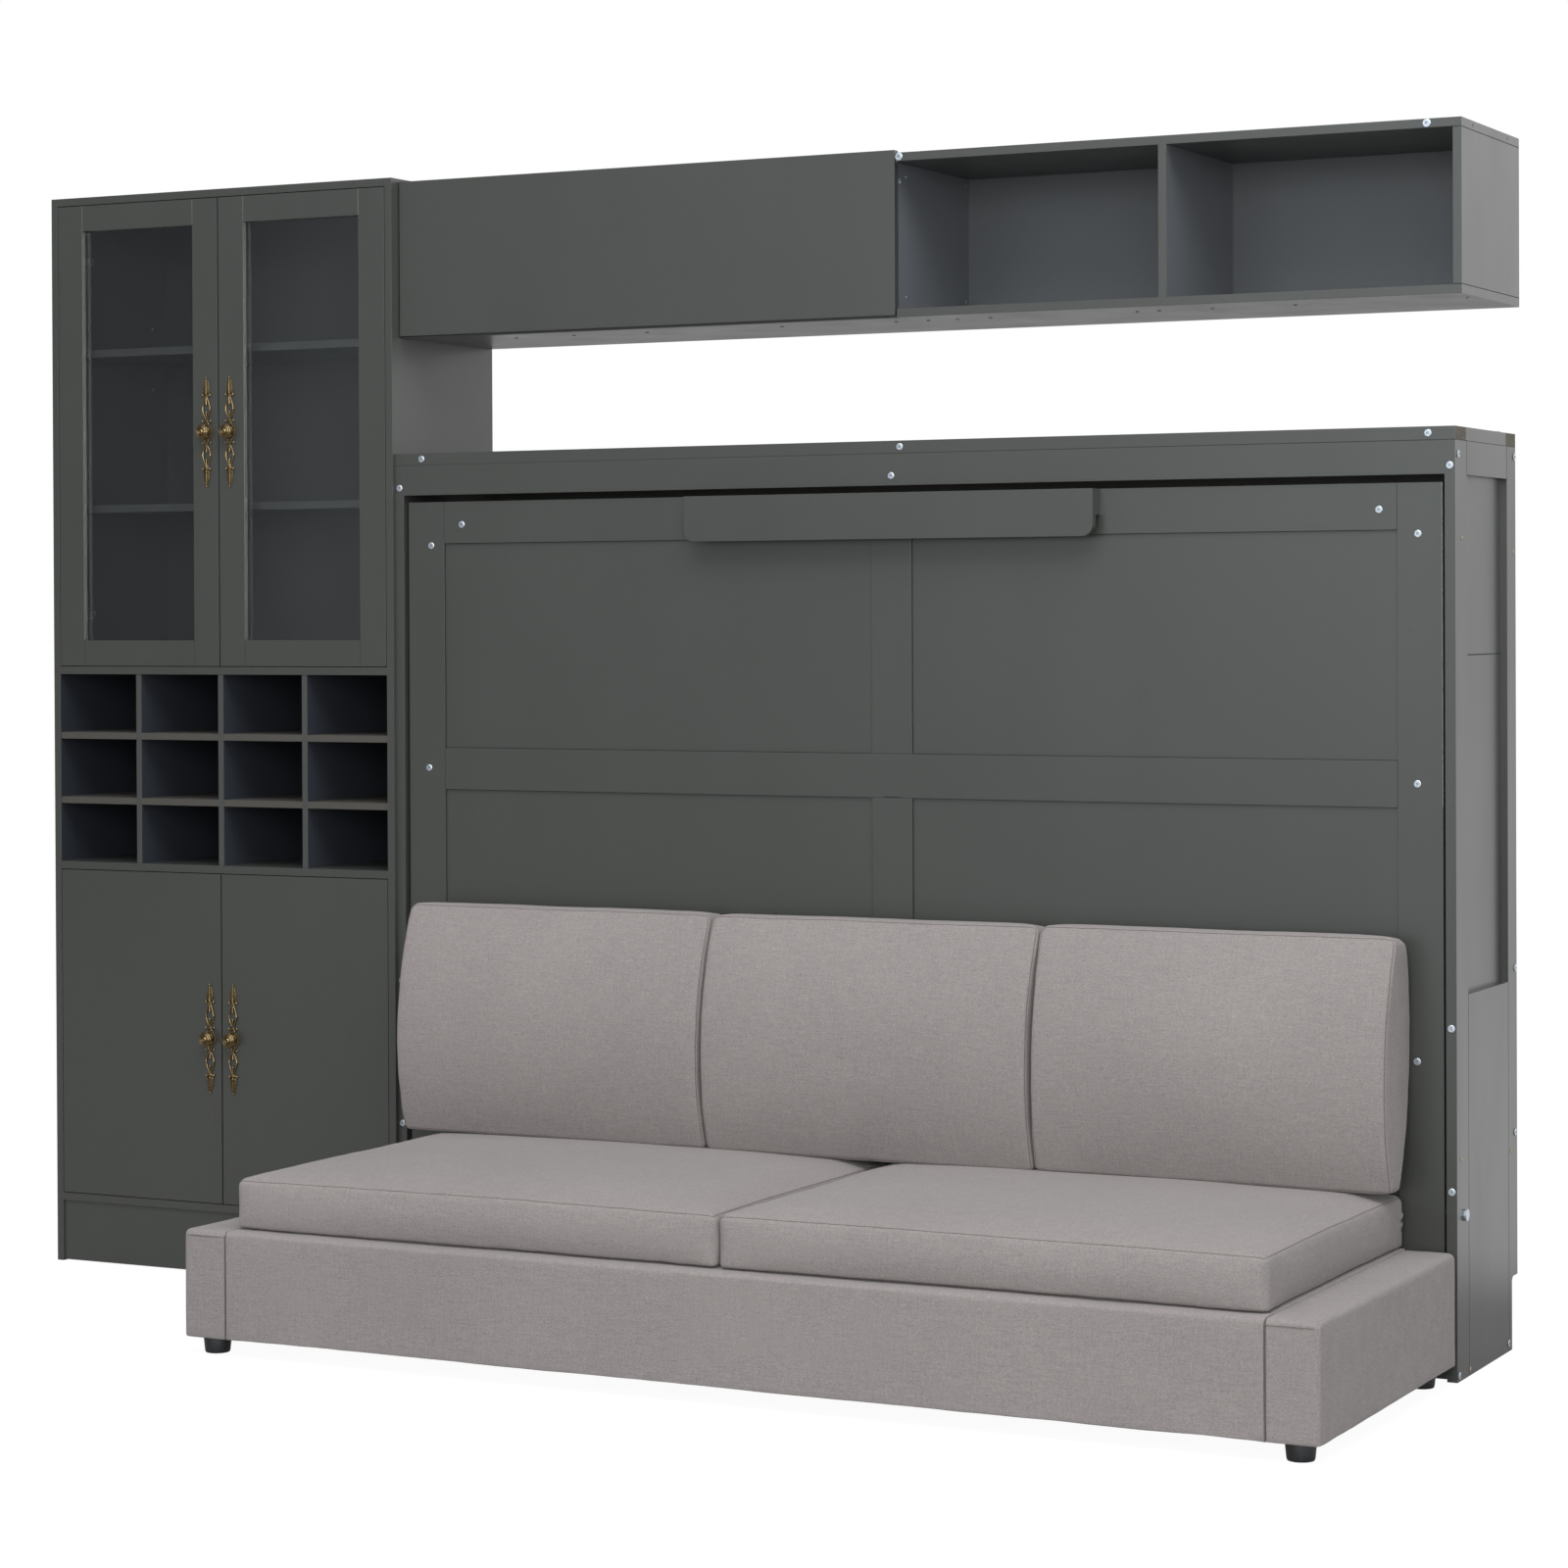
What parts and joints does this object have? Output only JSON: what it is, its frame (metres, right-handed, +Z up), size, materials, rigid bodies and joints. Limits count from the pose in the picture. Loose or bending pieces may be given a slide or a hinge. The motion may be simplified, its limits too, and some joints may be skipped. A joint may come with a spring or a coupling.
{
  "type": "wall bed with sofa",
  "caption": "Horizontal wall bed folded up behind a low sofa with loose cushions, with a glazed storage tower and an overhead shelf with a lift-up flap.",
  "frame": {"origin": "centre of the bounding box at floor level", "axes": "+X to the right along the wall as seen from the front, +Y back to the wall, +Z up; the bed is folded up"},
  "size_m": [2.862, 1.05, 2.101],
  "materials": {
    "paint": "satin paint",
    "inside_paint": "matte paint",
    "linen": "woven",
    "brass": "antique",
    "clear_glass": "clear",
    "zinc": "zinc plated",
    "pine": "bare",
    "black_plastic": "matte"
  },
  "bodies": {
    "cabinet": {"lower_left_side": "paint", "lower_right_side": "paint", "upper_left_side": "paint", "upper_right_side": "paint", "tower_top": "paint", "upper_floor": "paint", "rack_floor": "paint", "cupboard_floor": "paint", "kick_board": "paint", "upper_shelf_low": "paint", "upper_shelf_high": "paint", "rack_divider_1": "paint", "rack_divider_2": "paint", "rack_divider_3": "paint", "rack_shelf_1": "paint", "rack_shelf_2": "paint", "overhead_bottom": "paint", "overhead_top": "paint", "overhead_divider_left": "paint", "overhead_divider_right": "paint", "overhead_right_end": "paint", "cabinet_left_side": "paint", "cabinet_right_side": "paint", "cabinet_top": "paint", "cabinet_apron": "paint", "cabinet_rear_rail": "paint", "lower_back": "inside_paint", "upper_back": "inside_paint", "overhead_back": "inside_paint", "sofa_left_arm": "linen", "sofa_right_arm": "linen", "sofa_front_rail": "linen", "sofa_deck": "linen", "pivot_bolt_left": "zinc", "pivot_bolt_right": "zinc", "foot_front_left": "black_plastic", "foot_front_right": "black_plastic", "foot_rear_left": "black_plastic", "foot_rear_right": "black_plastic"},
    "bed": {"bed_face_frame": "paint", "bed_panel": "paint", "bed_box_frame": "paint", "bed_slats": "pine", "pull_board": "paint"},
    "glass_door_left": {"glass_door_left_frame": "paint", "glass_door_left_pane": "clear_glass", "glass_door_left_handle": "brass"},
    "glass_door_right": {"glass_door_right_frame": "paint", "glass_door_right_pane": "clear_glass", "glass_door_right_handle": "brass"},
    "cupboard_door_left": {"cupboard_door_left": "paint", "cupboard_door_left_handle": "brass"},
    "cupboard_door_right": {"cupboard_door_right": "paint", "cupboard_door_right_handle": "brass"},
    "flap": {"flap_door": "paint"},
    "seat_cushion_left": {"seat_cushion_left": "linen"},
    "seat_cushion_right": {"seat_cushion_right": "linen"},
    "back_cushion_left": {"back_cushion_left": "linen"},
    "back_cushion_middle": {"back_cushion_middle": "linen"},
    "back_cushion_right": {"back_cushion_right": "linen"}
  },
  "joints": [
    {"name": "bed_fold", "type": "hinge", "parent": "cabinet", "child": "bed", "pos_m": [0.393, 0.2135, 0.272], "axis": [1, 0, 0], "range_deg": [0, 90]},
    {"name": "glass_door_left_hinge", "type": "hinge", "parent": "cabinet", "child": "glass_door_left", "pos_m": [-1.4145, 0.16, 1.6315], "axis": [0, 0, -1], "range_deg": [0, 105]},
    {"name": "glass_door_right_hinge", "type": "hinge", "parent": "cabinet", "child": "glass_door_right", "pos_m": [-0.6535, 0.16, 1.6315], "axis": [0, 0, 1], "range_deg": [0, 90]},
    {"name": "cupboard_door_left_hinge", "type": "hinge", "parent": "cabinet", "child": "cupboard_door_left", "pos_m": [-1.4145, 0.16, 0.456], "axis": [0, 0, -1], "range_deg": [0, 105]},
    {"name": "cupboard_door_right_hinge", "type": "hinge", "parent": "cabinet", "child": "cupboard_door_right", "pos_m": [-0.6535, 0.16, 0.456], "axis": [0, 0, 1], "range_deg": [0, 90]},
    {"name": "flap_hinge", "type": "hinge", "parent": "cabinet", "child": "flap", "pos_m": [-0.118, 0.2, 2.095], "axis": [-1, 0, 0], "range_deg": [0, 90]},
    {"name": "seat_cushion_left_lift_off", "type": "slide", "parent": "cabinet", "child": "seat_cushion_left", "axis": [0, -1, 0], "range_m": [0, 1.6]},
    {"name": "seat_cushion_right_lift_off", "type": "slide", "parent": "cabinet", "child": "seat_cushion_right", "axis": [0, -1, 0], "range_m": [0, 1.6]},
    {"name": "back_cushion_left_lift_off", "type": "slide", "parent": "cabinet", "child": "back_cushion_left", "axis": [0, -1, 0], "range_m": [0, 1.6]},
    {"name": "back_cushion_middle_lift_off", "type": "slide", "parent": "cabinet", "child": "back_cushion_middle", "axis": [0, -1, 0], "range_m": [0, 1.6]},
    {"name": "back_cushion_right_lift_off", "type": "slide", "parent": "cabinet", "child": "back_cushion_right", "axis": [0, -1, 0], "range_m": [0, 1.6]}
  ],
  "couplings": [
    {"joint": "seat_cushion_left_lift_off", "follows": "bed_fold", "m_per_rad": 1},
    {"joint": "seat_cushion_right_lift_off", "follows": "bed_fold", "m_per_rad": 1},
    {"joint": "back_cushion_left_lift_off", "follows": "bed_fold", "m_per_rad": 1},
    {"joint": "back_cushion_middle_lift_off", "follows": "bed_fold", "m_per_rad": 1},
    {"joint": "back_cushion_right_lift_off", "follows": "bed_fold", "m_per_rad": 1}
  ]
}
